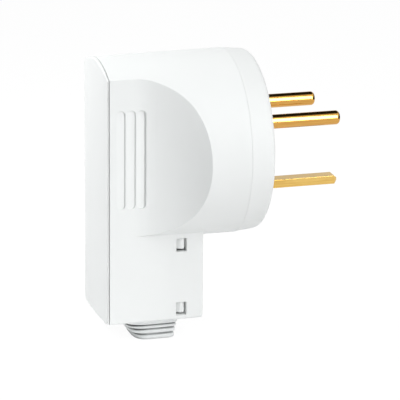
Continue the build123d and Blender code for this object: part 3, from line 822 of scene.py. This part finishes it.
class PLUG_OT_gland(Operator):
    """Makes the ribbed rubber gland under the cable box"""
    bl_idname = "plug.gland"
    bl_label = "Cable gland"

    def execute(self, context):
        sizes = context.scene.plug_gland
        low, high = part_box("cable_gland")
        form = gland_form(rubber(context.scene.plug_finishes))
        mesh = form.mesh({
            "Block Height": sizes.block_height, "Ribs": sizes.ribs, "Rib Height": sizes.rib_height,
            "Rib Growth": sizes.rib_growth, "Groove": sizes.groove, "Groove Depth": sizes.groove_depth,
            "Bore": sizes.bore, "Rear Reach": CABLE.x - low.x, "Rear Taper": sizes.rear_taper,
            "Front Reach": high.x - CABLE.x, "Front Taper": sizes.front_taper,
            "Side Reach": high.y, "Side Taper": sizes.side_taper,
            "Rear Squareness": sizes.rear_squareness, "Front Squareness": sizes.front_squareness})
        mesh.transform(Matrix.Translation((CABLE.x, CABLE.y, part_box("housing")[0].z)))
        show("cable_gland_ribbed", [mesh], body_of("cable_gland"), "cable_gland")
        return {"FINISHED"}


class PLUG_OT_clamp(Operator):
    """Makes the ridges that grip the cable in both halves of the cord clamp"""
    bl_idname = "plug.clamp"
    bl_label = "Clamp ridges"

    def execute(self, context):
        fittings = context.scene.plug_fittings
        form = ridge_form(frame["nodes"]["cord_clamp_bar"].data.materials[0])
        for node, toward in (("cord_clamp_base", 0.0), ("cord_clamp_bar", pi)):
            low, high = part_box(node)
            start = toward - RIDGE_SWEEP / 2
            mesh = form.mesh({"Ridges": fittings.clamp_teeth, "Start Angle": start,
                              "Sweep Angle": RIDGE_SWEEP,
                              "Ridge Pitch": (high.z - low.z) / fittings.clamp_teeth})
            mesh.transform(Matrix.Translation((CABLE.x, CABLE.y, (low.z + high.z) / 2)))
            show(f"{node}_ridges", [mesh], body_of(node), None)
        return {"FINISHED"}


def plain_sheet(name, corners, material):
    """A flat four-sided stage piece."""
    mesh = bpy.data.meshes.new(name)
    mesh.from_pydata(corners, [], [(0, 1, 2, 3)])
    mesh.materials.append(material)
    sheet = bpy.data.objects.new(name, mesh)
    bpy.context.scene.collection.objects.link(sheet)
    return sheet


def floor_material(stage):
    """A pale floor that shows white to the eye and to reflections, and keeps a faint shadow."""
    floor = Finish("Pale floor")
    fleck = floor.noise(4 * MM, 2)
    lit = floor.node("ShaderNodeBsdfDiffuse", None,
                     {"Color": floor.blend(fleck, tinted(stage.floor_color, 0.98), stage.floor_color)})
    white = floor.node("ShaderNodeEmission", None, {"Color": WHITE, "Strength": FLOOR_GLOW})
    ray = floor.node("ShaderNodeLightPath").output.node
    seen = [Socket(floor, ray.outputs[name])
            for name in ("Is Camera Ray", "Is Glossy Ray", "Is Transmission Ray")]
    shown = seen[0].math("MINIMUM", seen[0] + seen[1] + seen[2], 1) * stage.floor_white
    floor.node_output(floor.node("ShaderNodeMixShader", None, {0: shown, 1: lit, 2: white}))
    return floor.material


def plain_black():
    """The cloth of a card that only reflections show."""
    cloth = Finish("Black cloth")
    cloth.node_output(cloth.node("ShaderNodeBsdfDiffuse", None, {"Color": (0.01, 0.01, 0.01, 1)}))
    return cloth.material


def lamp(name, aim, offset, size, power):
    """A soft lamp of this width and height, offset from aim and facing it."""
    data = bpy.data.lights.new(name, "AREA")
    data.shape = "RECTANGLE"
    data.size, data.size_y = size
    data.energy = power
    made = bpy.data.objects.new(name, data)
    made.visible_camera = False
    place = aim + offset
    facing = (aim - place).to_track_quat("-Z", "Y").to_matrix().to_4x4()
    made.matrix_world = Matrix.Translation(place) @ facing
    bpy.context.scene.collection.objects.link(made)


def studio_sky(stage):
    """Plain light all round, white to the eye, with a dark ceiling above and behind."""
    sky = bpy.data.worlds.new("Studio")
    sky.use_nodes = True
    graph = Graph()
    graph.tree = sky.node_tree
    graph.tree.nodes.clear()
    ray = graph.node("ShaderNodeLightPath").output.node
    seen, gloss = (Socket(graph, ray.outputs[name]) for name in ("Is Camera Ray", "Is Glossy Ray"))
    toward = graph.node("ShaderNodeTexCoord", output="Generated")
    overhead = graph.node("ShaderNodeVectorMath", {"operation": "DOT_PRODUCT"},
                          {0: toward, 1: CEILING_TOWARD}, output="Value")
    ceiling = graph.node("ShaderNodeClamp", None, {0: (overhead - CEILING_EDGE) * CEILING_SHARPNESS})
    strength = (stage.sky + gloss * (REFLECTED_SKY - stage.sky)) * (1 - CEILING_DARKNESS * ceiling)
    light = graph.node("ShaderNodeBackground", None, {"Color": SKY_COLOR, "Strength": strength})
    white = graph.node("ShaderNodeBackground", None, {"Color": WHITE, "Strength": 1.0})
    mixed = graph.node("ShaderNodeMixShader", None, {0: seen, 1: light, 2: white})
    out = graph.tree.nodes.new("ShaderNodeOutputWorld")
    graph.tree.links.new(mixed.output, out.inputs["Surface"])
    return sky


def camera_matrix():
    """The camera's place and turn, as the photograph was taken."""
    level = CAMERA_AHEAD.cross(Vector((0, 0, 1))).normalized()
    facing = Matrix((level, level.cross(CAMERA_AHEAD), -CAMERA_AHEAD)).transposed().to_4x4()
    return Matrix.Translation(CAMERA_PLACE) @ facing @ Matrix.Rotation(CAMERA_ROLL, 4, "Z")


class PLUG_OT_stage(Operator):
    """Makes the floor, the card, the lamps, the sky and the camera"""
    bl_idname = "plug.stage"
    bl_label = "Stage"

    def execute(self, context):
        scene = context.scene
        stage = scene.plug_stage
        low, high = cad_box
        middle = (low + high) / 2
        z = low.z - FLOOR_GAP
        wide = FLOOR_HALF
        plain_sheet("floor", [(-wide, -wide, z), (wide, -wide, z), (wide, wide, z), (-wide, wide, z)],
                    floor_material(stage))

        near, far = CARD_Y
        card = plain_sheet("side_card", [(CARD_X, near, z), (CARD_X, far, z), (CARD_X, far, CARD_TOP),
                                         (CARD_X, near, CARD_TOP)], plain_black())
        card.visible_camera = card.visible_diffuse = card.visible_shadow = False
        lamp("front_lamp", middle, FRONT_LAMP_OFFSET, FRONT_LAMP_SIZE, stage.front_power)
        crown = Vector((low.x, middle.y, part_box("rear_cover")[1].z))
        lamp("back_lamp", crown, BACK_LAMP_OFFSET, BACK_LAMP_SIZE, stage.back_power)
        scene.world = studio_sky(stage)

        camera = bpy.data.cameras.new("camera")
        camera.sensor_width = 36
        camera.lens = CAMERA_LENS
        camera.clip_start = 0.01
        camera.clip_end = 50
        view = bpy.data.objects.new("camera", camera)
        scene.collection.objects.link(view)
        view.matrix_world = camera_matrix()
        scene.camera = view
        scene.view_settings.view_transform = "Standard"
        return {"FINISHED"}


class PLUG_PT_panel(Panel):
    bl_idname = "PLUG_PT_panel"
    bl_label = "Angled plug"
    bl_space_type = "VIEW_3D"
    bl_region_type = "UI"
    bl_category = "Plug"

    def draw(self, context):
        for group in GROUPS:
            box = self.layout.box()
            settings = getattr(context.scene, group)
            for name in type(settings).__annotations__:
                box.prop(settings, name)
        for operator in OPERATORS:
            self.layout.operator(operator.bl_idname)


GROUPS = {"plug_finishes": PlugFinishes, "plug_fittings": PlugFittings, "plug_gland": PlugGland,
          "plug_stage": PlugStage}
OPERATORS = (PLUG_OT_shells, PLUG_OT_metal, PLUG_OT_screws, PLUG_OT_inserts, PLUG_OT_gland, PLUG_OT_clamp,
             PLUG_OT_stage)


def register():
    for made in (*GROUPS.values(), *OPERATORS, PLUG_PT_panel):
        bpy.utils.register_class(made)
    for name, made in GROUPS.items():
        setattr(bpy.types.Scene, name, PointerProperty(type=made))


def unregister():
    for name in GROUPS:
        delattr(bpy.types.Scene, name)
    for made in (PLUG_PT_panel, *reversed(OPERATORS), *GROUPS.values()):
        bpy.utils.unregister_class(made)


def main():
    register()
    bpy.ops.plug.shells()
    bpy.ops.plug.metal()
    bpy.ops.plug.screws()
    bpy.ops.plug.inserts()
    bpy.ops.plug.gland()
    bpy.ops.plug.clamp()
    bpy.ops.plug.stage()


if __name__ == "__main__":
    main()
